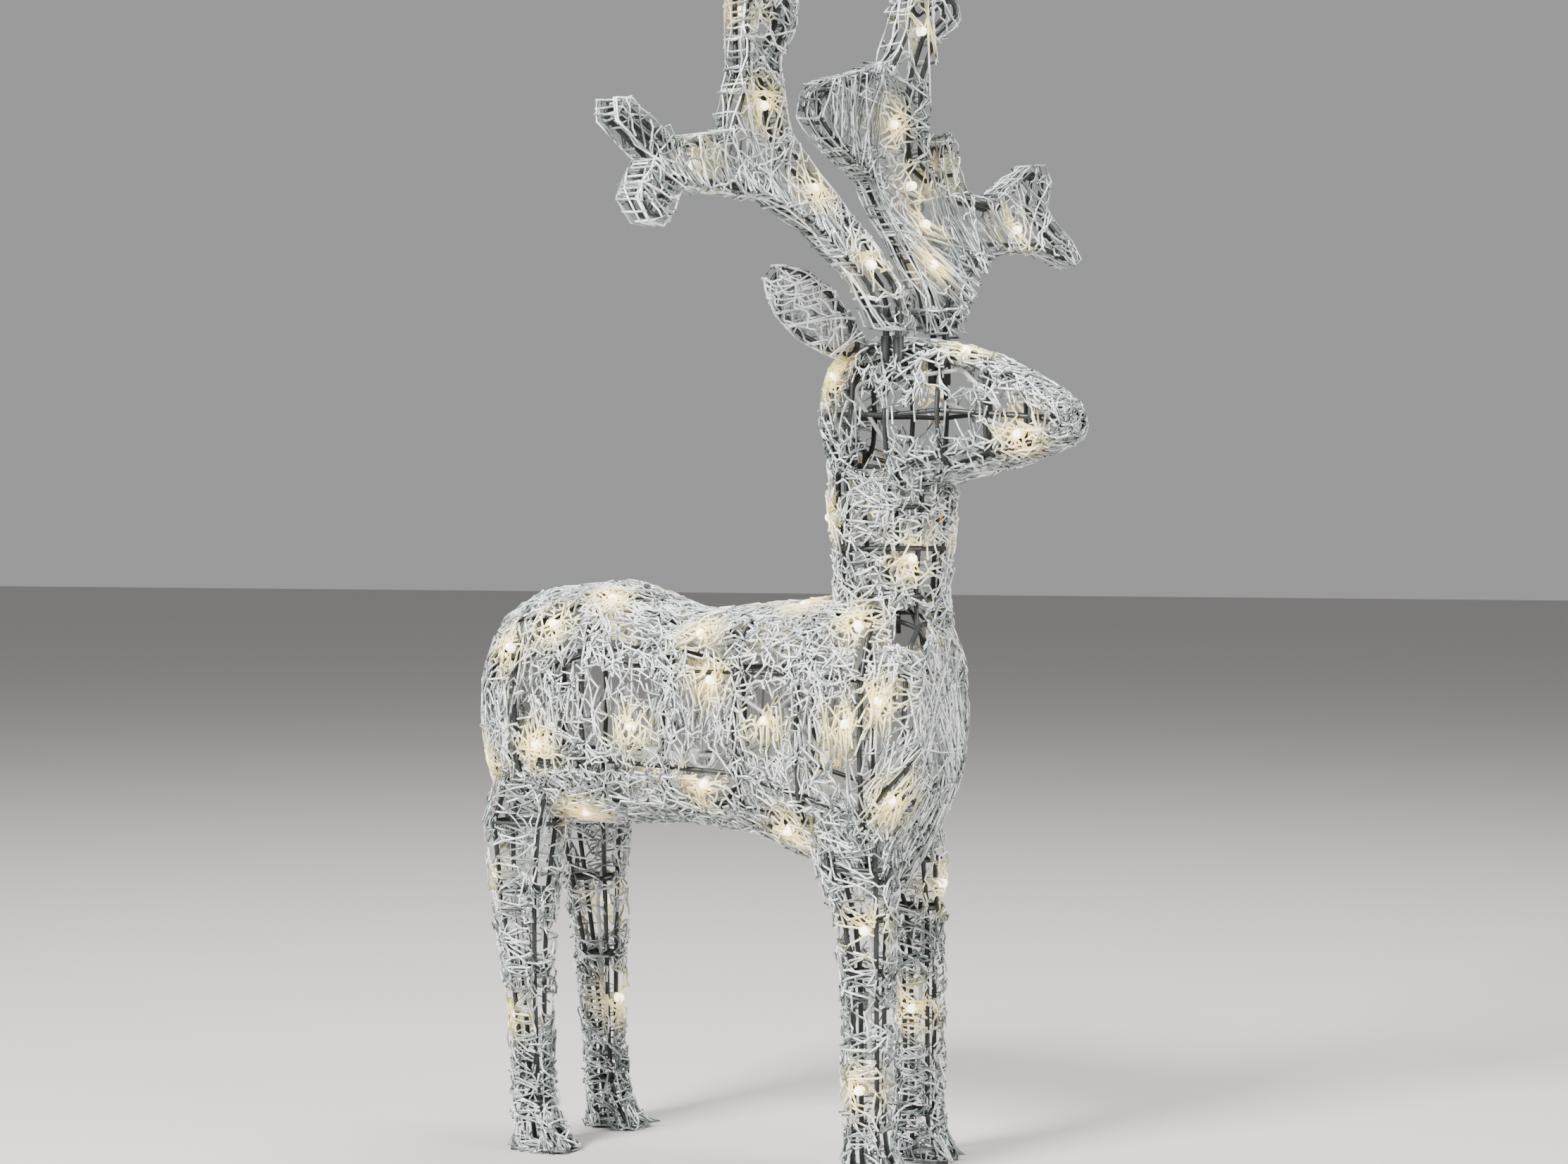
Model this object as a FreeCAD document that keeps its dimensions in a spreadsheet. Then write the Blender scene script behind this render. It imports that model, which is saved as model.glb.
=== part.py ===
"""A yard reindeer of welded wire, wound with clear acrylic thread and lit by small lamps.

X points forward, Y to the reindeer's left, Z up, in millimetres. The origin is on the
ground, under the middle of the whole animal. Body and legs are drawn about the middle
of the four hooves. Neck, head, ears and antlers are drawn about the neck's axis, in a
frame that is turned a little to the right.
"""

import FreeCAD
import Part
import Sketcher
import math
import os
from FreeCAD import Placement, Rotation, Vector

DIMENSIONS = [
    ("centre_x", -30.4),         # middle of the hooves, from the origin
    ("centre_y", 3.0),
    ("neck_x", 84.6),            # neck axis, forward of the middle of the hooves
    ("head_turn", -10.0),        # degrees, to the right
    ("front_half_track", 29.0),
    ("rear_half_track", 36.0),
    ("rod_diameter", 2.4),
    ("weld_offset", 1.7),        # longeron axis to ring axis
    ("end_ring_inset", 1.0),     # the rings at the rounded ends are this much smaller
    ("winding_wall", 1.8),
    ("wall_gap", 0.25),
    ("rod_clearance", 0.9),      # winding's inner face to the rods
    ("wire_diameter", 2.0),
    ("wire_gap", 1.3),           # between a wire and the back of a holder
    ("lens_diameter", 4.6),
    ("lens_length", 4.6),
    ("lens_proud", 0.6),         # how far a lens stands out of the winding
    ("holder_diameter", 5.2),
    ("holder_length", 5.4),
    ("antler_thickness", 16.0),
    ("antler_side", 20.0),       # antler's root from the head's middle plane
    ("antler_root_x", 14.0),     # antler's root, forward of the neck axis
    ("socket_top", 405.0),
    ("socket_length", 21.0),
    ("socket_outer_diameter", 5.2),
    ("pin_diameter", 3.2),
    ("pin_clearance", 0.05),
    ("pin_engagement", 19.0),
    ("pin_top", 420.0),
    ("collar_diameter", 5.0),
    ("collar_height", 1.2),
    ("collar_gap", 0.1),
    ("ear_thickness", 8.0),
    ("splice_length", 34.0),
    ("splice_width", 9.0),
    ("splice_height", 7.0),
    ("splice_rounding", 2.0),
    ("holder_chamfer", 0.8),
]

# Stations: place along the axis, middle of the section (two numbers), half sizes (two).
BODY = [
    (-134, 0, 222, 30, 36), (-124, 0, 222, 42, 51), (-104, 0, 224, 50, 60),
    (-64, 0, 226, 52, 62), (-20, 0, 219.5, 47, 54), (20, 0, 219, 48, 58),
    (54, 0, 214, 48, 67), (86, 0, 208, 45, 74), (106, 0, 222, 37, 52),
    (113, 0, 224, 29, 38),
]
NECK = [
    (258, 0, 0, 29.5, 28.5), (281, 0, 0, 27.5, 26), (304, 0, 0, 29.5, 27),
    (324, 0, 0, 32, 28), (340, 0, 0, 32, 28), (356, 0, 0, 31, 27),
]
HEAD = [
    (-33, 0, 368, 16, 18), (-25, 0, 369, 25, 31), (-6, 0, 369, 30, 38),
    (14, 0, 368, 30.5, 39), (42, 0, 370, 27, 33), (66, 0, 368, 22, 26.5),
    (88, 0, 366, 17, 18.5), (101, 0, 364, 13, 12.5), (107, 0, 364, 8.5, 8),
]
# Legs: height, section's place forward, half length, half width, shift to the middle.
FRONT_LEG = [
    (0, 89.5, 17, 12, 0), (3, 89.5, 17.5, 12.5, 0), (13, 86.5, 14, 11.5, 0),
    (25, 86, 13, 10.5, 0), (62, 86, 13, 10.5, 0), (100, 85.5, 13.5, 11, 0),
    (126, 84, 16, 12.5, 0), (150, 79, 21, 14, 1.5), (176, 75, 22, 13, 6),
]
REAR_LEG = [
    (0, -92, 17, 12, 0), (3, -92, 17.5, 12.5, 0), (13, -96, 13, 11, 0),
    (25, -98.5, 11.5, 10, 0), (47, -99.5, 11, 10, 0), (91, -102, 13.5, 11.5, 0),
    (131, -105, 17.5, 13.5, 1), (165, -106.5, 21.5, 16, 4), (200, -101, 20, 14, 10),
]
BODY_SHAPE = 2.6                 # exponent of the rounded sections: 2 is an ellipse
LEG_SHAPE = 3.6
SECTION_POINTS = 16
ALL_CORNERS = range(1, SECTION_POINTS, 2)    # points of a section that carry a rod
LEG_CORNERS = range(2, SECTION_POINTS, 4)

# Bend radii of rods and wires, and how far a wire runs straight out of the splice.
RING_BEND = 6.0
LONGERON_BEND = 12.0
LEAF_BEND = 4.0
WIRE_LEAD_OUT = 12.0

# Clearance cuts: how far they reach, and where the upright ones start.
LAMP_HOLE_LENGTH = 14.0
LAMP_HOLE_CLEARANCE = 0.3
NECK_HOLE_OVERRUN = 1.0
SOCKET_HOLE_START, SOCKET_HOLE_LENGTH = 380.0, 60.0
PIN_HOLE_START, PIN_HOLE_LENGTH = 400.0, 30.0

# Antler outlines: outward from the root, height.
RIGHT_ANTLER = [
    (-10, 409), (-10, 432), (-4, 456), (8, 478), (32, 503), (40, 535), (26, 555),
    (25, 567), (33, 573), (43, 562), (49, 585), (58, 590), (66, 581), (66, 528),
    (79, 500), (123, 492), (150, 507), (162, 506), (163, 496), (142, 481),
    (168, 460), (166, 449), (155, 448), (127, 469), (60, 469), (36, 455), (22, 434),
    (14, 409),
]
LEFT_ANTLER = [
    (-10, 409), (-10, 436), (-6, 462), (-8, 486), (-41, 504), (-51, 514),
    (-49, 526), (-37, 533), (-10, 540), (14, 548), (26, 566), (31, 590), (40, 596),
    (50, 581), (66, 591), (77, 588), (80, 577), (58, 562), (46, 540), (44, 500),
    (52, 496), (56, 511), (63, 517), (71, 511), (74, 487), (100, 485), (140, 507),
    (153, 509), (158, 500), (148, 483), (160, 468), (159, 457), (147, 452),
    (124, 459), (74, 455), (42, 437), (24, 424), (14, 409),
]
# The antlers lean back from the head, then stand up: height, place forward.
ANTLER_BEND = [(409, 14), (430, 8), (455, -8), (470, -18), (485, -25), (505, -29), (598, -31)]

# Lamps on a section: place along the axis, angle round the section from its first side.
BODY_LAMPS = [
    (81, 130), (45, 106), (-4, 132), (-57, 118), (-84, 142), (-110, 153), (-129, 210),
    (-90, 193), (-73, 242), (-36, 183), (2, 208), (7, 164), (38, 178), (45, 225),
    (80, 175), (96, 170), (101, 212), (96, 46), (72, 26), (28, 344), (0, 46),
    (-44, 8), (-72, 330), (-98, 35), (-52, 62), (15, 88),
]
NECK_LAMPS = [(299, 325), (319, 214), (334, 140), (314, 58)]
HEAD_LAMPS = [(-20, 149), (48, 99), (83, 200), (60, 351), (9, 13)]
FRONT_LEG_LAMPS = {"right": [(44, 269), (121, 275)], "left": [(76, 270), (138, 2)]}
REAR_LEG_LAMPS = {"right": [(68, 180), (138, 180)], "left": [(68, 360), (118, 90)]}
# Points that a wire passes on its way between lamps.
LEG_RINGS = [1, 3, 5, 6, 7]
LEG_WIRE_EXIT = {"front": 1.1, "rear": 2.5}  # from the splice's middle, to each side
BODY_WIRE_EXIT = -3.3
NECK_WIRE_EXIT = 3.3
LEG_VIAS = {
    "front": [Vector(74, 21, 176), Vector(80, 27, 138)],
    "rear": [Vector(-90, 26, 200), Vector(-96, 32, 152)],
}
NECK_VIAS = [Vector(57, 3, 222), Vector(77, 0, 286)]
HEAD_VIA = Vector(0, 0, 350)
BACK_VIA = Vector(-16, 14, 248)
# Lamps on an antler: outward from the root, height, and 1 for the front face or -1
# for the back. The wire also passes the points with a 0.
RIGHT_ANTLER_LAMPS = [
    (8, 440, 1), (24, 477, 1), (100, 482, -1), (62, 486, 0), (53, 514, 1), (54, 560, -1),
]
LEFT_ANTLER_LAMPS = [
    (8, 444, 1), (22, 466, 1), (110, 470, 1), (66, 474, 0), (62, 494, -1), (54, 478, 0),
    (24, 486, 1), (14, 516, 1), (40, 566, 1),
]

SPLICE_PLACE = Vector(-38, 0, 196)

# Points of the head's section that carry a rod: sides, crown, mouth and throat.
HEAD_LONGERONS = [0, 3, 5, 8, 10, 12, 14]

# Ears: root, tip and width direction on the right side, about the neck axis.
EAR_ROOT = Vector(-10, -13, 398)
EAR_TIP = Vector(-27, -64, 436)
EAR_WIDTH = Vector(0.378, 0.505, 0.776)
EAR_HALF_WIDTHS = [(0.0, 7), (0.25, 12.5), (0.5, 16), (0.75, 14.5), (0.92, 9.5), (1.0, 5)]

doc = FreeCAD.newDocument("yard_reindeer")
sheet = doc.addObject("Spreadsheet::Sheet", "dims")
for row, (alias, value) in enumerate(DIMENSIONS, start=1):
    sheet.set(f"A{row}", alias)
    sheet.set(f"B{row}", str(value))
    sheet.setAlias(f"B{row}", alias)
doc.recompute()


def size(alias):
    return float(sheet.get(alias))


ROD_RADIUS = size("rod_diameter") / 2
WALL = size("winding_wall")
SPACER_RADIUS = 0.85 * ROD_RADIUS
ROD_DEPTH = WALL + size("rod_clearance") + ROD_RADIUS
ANTLER_ROD_DEPTH = ROD_DEPTH + 0.5
WIRE_RADIUS = size("wire_diameter") / 2
SIDES = {"right": -1, "left": 1}
CENTRE = Vector(size("centre_x"), size("centre_y"), 0)
BODY_PLACE = Placement(CENTRE, Rotation())
HEAD_PLACE = Placement(
    CENTRE + Vector(size("neck_x"), 0, 0), Rotation(Vector(0, 0, 1), size("head_turn"))
)
exported = []


def add_part(label, shape, place):
    """A sub-part whose shape is made below, because it follows no single profile."""
    feature = doc.addObject("Part::Feature", label)
    feature.Label = label
    feature.Shape = shape
    feature.Placement = place
    exported.append(feature)
    return feature


def rounded(half_a, half_b, shape, angle):
    """A point of a rounded section, at an angle in degrees."""
    a = math.cos(math.radians(angle))
    b = math.sin(math.radians(angle))
    return (
        half_a * math.copysign(abs(a) ** (2 / shape), a),
        half_b * math.copysign(abs(b) ** (2 / shape), b),
    )


def on_axis(axis, station, a, b):
    """The point of a section that is a and b from its middle."""
    along, middle_a, middle_b = station[:3]
    if axis == "x":
        return Vector(along, middle_a + a, middle_b + b)
    return Vector(middle_a + a, middle_b + b, along)


def shrunk(stations, by, end_by=None):
    """The same form, smaller all round."""
    ends = by if end_by is None else end_by
    result = [
        (along, ma, mb, ha - by, hb - by) for along, ma, mb, ha, hb in stations
    ]
    first, last = result[0], result[-1]
    result[0] = (first[0] + ends,) + first[1:]
    result[-1] = (last[0] - ends,) + last[1:]
    return result


def section_points(axis, station, shape):
    points = []
    for k in range(SECTION_POINTS):
        a, b = rounded(station[3], station[4], shape, 360.0 * k / SECTION_POINTS)
        points.append(on_axis(axis, station, a, b))
    return points


def loft(axis, stations, shape):
    wires = []
    for station in stations:
        points = section_points(axis, station, shape)
        wires.append(Part.makePolygon(points + points[:1]))
    return Part.makeLoft(wires, True, True)


def bent_edges(points, bend, closed=False):
    """Straight runs joined by tangent arcs."""
    count = len(points)
    corners = range(count) if closed else range(1, count - 1)
    cuts = {}
    for i in corners:
        before, here, after = points[i - 1], points[i], points[(i + 1) % count]
        arrive = here - before
        leave = after - here
        shorter = min(arrive.Length, leave.Length)
        turn = arrive.getAngle(leave)
        if turn < math.radians(1):
            cuts[i] = (here, here, here)
            continue
        arrive.normalize()
        leave.normalize()
        reach = min(bend * math.tan(turn / 2), 0.45 * shorter)
        radius = reach / math.tan(turn / 2)
        inward = (leave - arrive).normalize()
        middle = here + inward * (radius / math.cos(turn / 2) - radius)
        cuts[i] = (here - arrive * reach, middle, here + leave * reach)
    edges = []
    runs = range(count) if closed else range(count - 1)
    for i in runs:
        following = (i + 1) % count
        start = cuts[i][2] if i in cuts else points[i]
        end = cuts[following][0] if following in cuts else points[following]
        edges.append(Part.makeLine(start, end))
        if following in cuts and (cuts[following][0] - cuts[following][2]).Length > 1e-6:
            edges.append(Part.Arc(*cuts[following]).toShape())
    return edges


def tube(points, radius, bend=RING_BEND, closed=False):
    """A rod or wire along a route."""
    return sweep(bent_edges(points, bend, closed), radius)


def led_wire(label, points, bend=RING_BEND):
    """The lamp string's wire along a route. Prints its length, volume and bend radii."""
    edges = bent_edges(points, bend)
    length = sum(edge.Length for edge in edges)
    solid = sweep(edges, WIRE_RADIUS)
    arcs = [edge.Curve.Radius for edge in edges if edge.Curve.TypeId == "Part::GeomCircle"]
    print(f"{label}: length {length:.0f} mm, volume {solid.Volume:.0f} mm3, "
          f"section x length {math.pi * WIRE_RADIUS ** 2 * length:.0f} mm3, "
          f"radii {min(arcs):.1f} to {max(arcs):.1f} mm")
    return solid


def sweep(edges, radius):
    """A round section carried along edges that follow one another."""
    first = edges[0]
    start = first.valueAt(first.FirstParameter)
    along = first.tangentAt(first.FirstParameter)
    profile = Part.Wire([Part.makeCircle(radius, start, along)])
    return Part.Wire(edges).makePipeShell([profile], True, False)


def fused(shapes):
    return shapes[0].multiFuse(shapes[1:]) if len(shapes) > 1 else shapes[0]


def rod_frame(axis, stations, shape, rings, longerons, end_rings=()):
    """Rings at some stations, with longerons welded inside them."""
    ring_line = shrunk(stations, ROD_DEPTH)
    end_line = shrunk(stations, ROD_DEPTH + size("end_ring_inset"))
    inner_line = shrunk(stations, ROD_DEPTH + size("weld_offset"), ROD_DEPTH)
    sections = [ring_line[i] for i in rings] + [end_line[i] for i in end_rings]
    rods = [
        tube(section_points(axis, section, shape), ROD_RADIUS, closed=True)
        for section in sections
    ]
    columns = [section_points(axis, station, shape) for station in inner_line]
    for k in longerons:
        rods.append(tube([column[k] for column in columns], ROD_RADIUS, LONGERON_BEND))
    return rods


def lamp_seat(axis, stations, shape, along, angle):
    """A point of the outer face and the outward direction there."""
    for lower, upper in zip(stations, stations[1:]):
        if lower[0] <= along <= upper[0]:
            share = (along - lower[0]) / (upper[0] - lower[0])
            here = tuple(low + (high - low) * share for low, high in zip(lower, upper))
            ends = (lower, upper)
    at = on_axis(axis, here, *rounded(here[3], here[4], shape, angle))
    step = 3.0
    ahead = on_axis(axis, here, *rounded(here[3], here[4], shape, angle + step))
    behind = on_axis(axis, here, *rounded(here[3], here[4], shape, angle - step))
    first, last = (
        on_axis(axis, end, *rounded(end[3], end[4], shape, angle)) for end in ends
    )
    outward = (ahead - behind).cross(last - first).normalize()
    middle = on_axis(axis, here, 0, 0)
    if outward.dot(at - middle) < 0:
        outward = outward * -1
    return at, outward


def primitive(kind, name, cells):
    """A helper solid with its sizes bound to the sheet."""
    item = doc.addObject(kind, name)
    for prop, cell in cells.items():
        item.setExpression(prop, cell)
    return item


def lamp_masters():
    """One lens and one holder, standing on the origin along +Z."""
    stem = primitive("Part::Cylinder", "lens_stem", {
        "Radius": "dims.lens_diameter / 2",
        "Height": "dims.lens_length - dims.lens_diameter / 2",
    })
    dome = primitive("Part::Sphere", "lens_dome", {
        "Radius": "dims.lens_diameter / 2",
        "Placement.Base.z": "dims.lens_length - dims.lens_diameter / 2",
    })
    lens = doc.addObject("Part::Fuse", "lens_master")
    lens.Base = stem
    lens.Tool = dome
    barrel = primitive("Part::Cylinder", "holder_barrel", {
        "Radius": "dims.holder_diameter / 2", "Height": "dims.holder_length",
    })
    doc.recompute()
    holder = doc.addObject("Part::Chamfer", "holder_master")
    holder.Base = barrel
    bottom = [
        i + 1 for i, edge in enumerate(barrel.Shape.Edges)
        if edge.BoundBox.ZMax < 0.01 and edge.Curve.TypeId == "Part::GeomCircle"
    ]
    chamfer = size("holder_chamfer")
    holder.Edges = [(i, chamfer, chamfer) for i in bottom]
    doc.recompute()
    return lens, holder


def circle_sketch(body, name, cells):
    """A sketch on the body's XY plane with one centred circle per diameter cell."""
    sketch = body.newObject("Sketcher::SketchObject", name)
    plane = [f for f in body.Origin.OriginFeatures if f.Role == "XY_Plane"][0]
    sketch.AttachmentSupport = (plane, [""])
    sketch.MapMode = "FlatFace"
    for i, cell in enumerate(cells):
        sketch.addGeometry(Part.Circle(Vector(0, 0, 0), Vector(0, 0, 1), 2.0 + i), False)
        sketch.addConstraint(Sketcher.Constraint("Coincident", i, 3, -1, 1))
        number = sketch.addConstraint(Sketcher.Constraint("Diameter", i, 4.0 + 2 * i))
        sketch.setExpression(f"Constraints[{number}]", cell)
    return sketch


def pad(body, name, sketch, length):
    feature = body.newObject("PartDesign::Pad", name)
    feature.Profile = sketch
    feature.setExpression("Length", length)
    return feature


def socket_master():
    """The tube that an antler's pin drops into."""
    body = doc.addObject("PartDesign::Body", "socket_master")
    bore = "dims.pin_diameter + 2 * dims.pin_clearance"
    sketch = circle_sketch(body, "socket_section", [bore, "dims.socket_outer_diameter"])
    pad(body, "socket_tube", sketch, "dims.socket_length")
    doc.recompute()
    return body


def pin_master():
    """A pin with the collar that rests on the socket."""
    body = doc.addObject("PartDesign::Body", "pin_master")
    shank = circle_sketch(body, "pin_section", ["dims.pin_diameter"])
    pad(body, "pin_shank", shank,
        "dims.pin_top - dims.socket_top + dims.pin_engagement")
    collar = circle_sketch(body, "collar_section", ["dims.collar_diameter"])
    collar.AttachmentOffset = Placement(Vector(0, 0, 1), Rotation())
    collar.setExpression(
        "AttachmentOffset.Base.z", "dims.pin_engagement + dims.collar_gap")
    pad(body, "pin_collar", collar, "dims.collar_height")
    doc.recompute()
    return body


def splice():
    """The moulded joint where the supply lead meets the lamp string."""
    body = doc.addObject("PartDesign::Body", "lead_splice")
    body.Label = "lead_splice"
    sketch = body.newObject("Sketcher::SketchObject", "splice_outline")
    plane = [f for f in body.Origin.OriginFeatures if f.Role == "XY_Plane"][0]
    sketch.AttachmentSupport = (plane, [""])
    sketch.MapMode = "FlatFace"
    long, wide = size("splice_length") / 2, size("splice_width") / 2
    corners = [
        Vector(along * long, across * wide, 0)
        for along, across in ((-1, -1), (1, -1), (1, 1), (-1, 1))
    ]
    for start, end in zip(corners, corners[1:] + corners[:1]):
        sketch.addGeometry(Part.LineSegment(start, end), False)
    for i in range(4):
        sketch.addConstraint(Sketcher.Constraint("Coincident", i, 2, (i + 1) % 4, 1))
    for i, way in enumerate(["Horizontal", "Vertical", "Horizontal", "Vertical"]):
        sketch.addConstraint(Sketcher.Constraint(way, i))
    sketch.addConstraint(Sketcher.Constraint("Symmetric", 0, 1, 1, 2, -1, 1))
    long_side = sketch.addConstraint(Sketcher.Constraint("DistanceX", 0, 1, 0, 2, 2 * long))
    short_side = sketch.addConstraint(Sketcher.Constraint("DistanceY", 1, 1, 1, 2, 2 * wide))
    sketch.setExpression(f"Constraints[{long_side}]", "dims.splice_length")
    sketch.setExpression(f"Constraints[{short_side}]", "dims.splice_width")
    block = pad(body, "splice_block", sketch, "dims.splice_height")
    doc.recompute()
    fillet = body.newObject("PartDesign::Fillet", "splice_rounding")
    fillet.Base = (block, [f"Edge{i + 1}" for i in range(len(block.Shape.Edges))])
    fillet.setExpression("Radius", "dims.splice_rounding")
    body.Tip = fillet
    doc.recompute()
    body.Placement = Placement(CENTRE + SPLICE_PLACE, Rotation())
    exported.append(body)


def from_splice(end, across):
    """Where a wire leaves the splice: end is 1 for the front, across is to the left."""
    half = end * size("splice_length") / 2
    face = SPLICE_PLACE + Vector(half, across, size("splice_height") / 2)
    return [face, face + Vector(end * WIRE_LEAD_OUT, 0, 0)]


LENS, HOLDER = lamp_masters()
SOCKET = socket_master()
PIN = pin_master()


def copy_at(master, at, direction):
    shape = master.Shape.copy()
    shape.Placement = Placement(at, Rotation(Vector(0, 0, 1), direction))
    return shape


class Lamps:
    """The lamps of one module: lenses, holders, the holes they need and the wire's route."""

    def __init__(self, seats):
        lens_depth = size("lens_length") - size("lens_proud")
        holder_depth = lens_depth + size("holder_length")
        wire_depth = holder_depth + WIRE_RADIUS + size("wire_gap")
        self.lenses = []
        self.holders = []
        self.holes = []
        self.route = []
        for at, outward in seats:
            lens_base = at - outward * lens_depth
            holder_base = at - outward * holder_depth
            self.lenses.append(copy_at(LENS, lens_base, outward))
            self.holders.append(copy_at(HOLDER, holder_base, outward))
            self.holes.append(Part.makeCylinder(
                size("lens_diameter") / 2 + LAMP_HOLE_CLEARANCE, LAMP_HOLE_LENGTH,
                at - outward * (LAMP_HOLE_LENGTH / 2), outward))
            self.route.append(at - outward * wire_depth)

    def add(self, name, place):
        add_part(name + "_led_lamps", Part.makeCompound(self.lenses), place)
        add_part(name + "_led_holders", Part.makeCompound(self.holders), place)


def winding(outer, inner, lamps, others):
    """The wound thread as a thin closed wall, cut back from its neighbours."""
    wall = outer.cut(inner)
    for other in others:
        wall = wall.cut(other)
    if lamps:
        wall = wall.cut(Part.makeCompound(lamps.holes))
    return largest_solid(wall)


def largest_solid(shape):
    return max(shape.Solids, key=lambda solid: solid.Volume)


def leg_stations(rows, side, half_track):
    return [
        (up, x, side * (half_track - inward), half_x, half_y)
        for up, x, half_x, half_y, inward in rows
    ]


def moved(shape, source, target):
    """The shape, from one placement's frame in another's."""
    result = shape.copy()
    result.Placement = target.inverse().multiply(source).multiply(result.Placement)
    return result


GAP = size("wall_gap")
LEGS = {}
for end, rows, shape_rows, track in [
    ("front", FRONT_LEG, FRONT_LEG_LAMPS, size("front_half_track")),
    ("rear", REAR_LEG, REAR_LEG_LAMPS, size("rear_half_track")),
]:
    for side, sign in SIDES.items():
        stations = leg_stations(rows, sign, track)
        LEGS[f"{end}_{side}_leg"] = (stations, shape_rows[side])

body_outer = loft("x", BODY, BODY_SHAPE)
body_grown = loft("x", shrunk(BODY, -GAP), BODY_SHAPE)
body_inner = loft("x", shrunk(BODY, WALL), BODY_SHAPE)
neck_outer = loft("z", NECK, BODY_SHAPE)
neck_inner = loft("z", shrunk(NECK, WALL, -NECK_HOLE_OVERRUN), BODY_SHAPE)
head_grown = loft("x", shrunk(HEAD, -GAP), BODY_SHAPE)
head_outer = loft("x", HEAD, BODY_SHAPE)
head_inner = loft("x", shrunk(HEAD, WALL), BODY_SHAPE)

# Legs
leg_cores = []
for name, (stations, seats) in LEGS.items():
    lamps = Lamps([lamp_seat("z", stations, LEG_SHAPE, *seat) for seat in seats])
    outer = loft("z", stations, LEG_SHAPE)
    inner = loft("z", shrunk(stations, WALL), LEG_SHAPE)
    leg_cores.append(inner)
    add_part(name + "_winding", winding(outer, inner, lamps, [body_grown]), BODY_PLACE)
    rods = rod_frame("z", stations, LEG_SHAPE, LEG_RINGS, LEG_CORNERS)
    add_part(name + "_frame", fused(rods), BODY_PLACE)
    lamps.add(name, BODY_PLACE)
    end, side, _ = name.split("_")
    across = SIDES[side] * LEG_WIRE_EXIT[end]
    vias = [Vector(via.x, SIDES[side] * via.y, via.z) for via in LEG_VIAS[end]]
    route = from_splice(1 if end == "front" else -1, across) + vias + lamps.route[::-1]
    add_part(name + "_led_wire", led_wire(name, route), BODY_PLACE)

# Body
body_lamps = Lamps([lamp_seat("x", BODY, BODY_SHAPE, *seat) for seat in BODY_LAMPS])
openings = [moved(neck_inner, HEAD_PLACE, BODY_PLACE)] + leg_cores
add_part("body_winding", winding(body_outer, body_inner, body_lamps, openings), BODY_PLACE)
body_rods = rod_frame("x", BODY, BODY_SHAPE, range(2, 7), ALL_CORNERS, [1, 7, 8])
add_part("body_frame", fused(body_rods), BODY_PLACE)
body_lamps.add("body", BODY_PLACE)
body_route = from_splice(1, BODY_WIRE_EXIT) + body_lamps.route
body_route.insert(-1, BACK_VIA)
add_part("body_led_wire", led_wire("body", body_route), BODY_PLACE)
splice()

# Neck
body_for_neck = moved(body_grown, BODY_PLACE, HEAD_PLACE)
neck_lamps = Lamps([lamp_seat("z", NECK, BODY_SHAPE, *seat) for seat in NECK_LAMPS])
add_part(
    "neck_winding",
    winding(neck_outer, neck_inner, neck_lamps, [body_for_neck, head_grown]),
    HEAD_PLACE,
)
neck_rods = rod_frame("z", NECK, BODY_SHAPE, [1, 2, 3], ALL_CORNERS)
add_part("neck_frame", fused(neck_rods), HEAD_PLACE)
neck_lamps.add("neck", HEAD_PLACE)

# Head and antler sockets
head_lamps = Lamps([lamp_seat("x", HEAD, BODY_SHAPE, *seat) for seat in HEAD_LAMPS])
pin_reach = size("antler_thickness") / 2 - ANTLER_ROD_DEPTH
pin_places = {
    side: [
        Vector(size("antler_root_x") + ahead * pin_reach, sign * size("antler_side"), 0)
        for ahead in (-1, 1)
    ]
    for side, sign in SIDES.items()
}
socket_base = Vector(0, 0, size("socket_top") - size("socket_length"))
sockets = []
socket_holes = []
for places in pin_places.values():
    for place in places:
        sockets.append(copy_at(SOCKET, place + socket_base, Vector(0, 0, 1)))
        socket_holes.append(Part.makeCylinder(
            size("socket_outer_diameter") / 2 + GAP, SOCKET_HOLE_LENGTH,
            place + Vector(0, 0, SOCKET_HOLE_START)))
head_rods = rod_frame("x", HEAD, BODY_SHAPE, range(2, 8), HEAD_LONGERONS, [1])
add_part("head_frame", fused(head_rods), HEAD_PLACE)
head_lamps.add("head", HEAD_PLACE)
to_head = HEAD_PLACE.inverse().multiply(BODY_PLACE)
neck_start = [to_head.multVec(point) for point in from_splice(1, NECK_WIRE_EXIT) + NECK_VIAS]
neck_route = neck_start + neck_lamps.route + [HEAD_VIA] + head_lamps.route
add_part("neck_head_led_wire", led_wire("neck_head", neck_route), HEAD_PLACE)
add_part("antler_sockets", Part.makeCompound(sockets), HEAD_PLACE)
ear_holes = []


# Ears
def ear_outline(root, tip, across, inset):
    """The leaf's edge, from the root up one side and down the other."""
    along = tip - root
    direction = Vector(along).normalize()
    rims = []
    for sign in (1, -1):
        rim = []
        for share, half in EAR_HALF_WIDTHS:
            shift = inset * (1 if share == 0 else -1 if share == 1 else 0)
            rim.append(root + along * share + direction * shift
                       + across * (sign * max(half - inset, 0.8)))
        rims.append(rim)
    return rims[0] + rims[1][::-1]


def leaf(points, normal, thickness):
    base = [point - normal * (thickness / 2) for point in points]
    return Part.Face(Part.makePolygon(base + base[:1])).extrude(normal * thickness)


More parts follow.
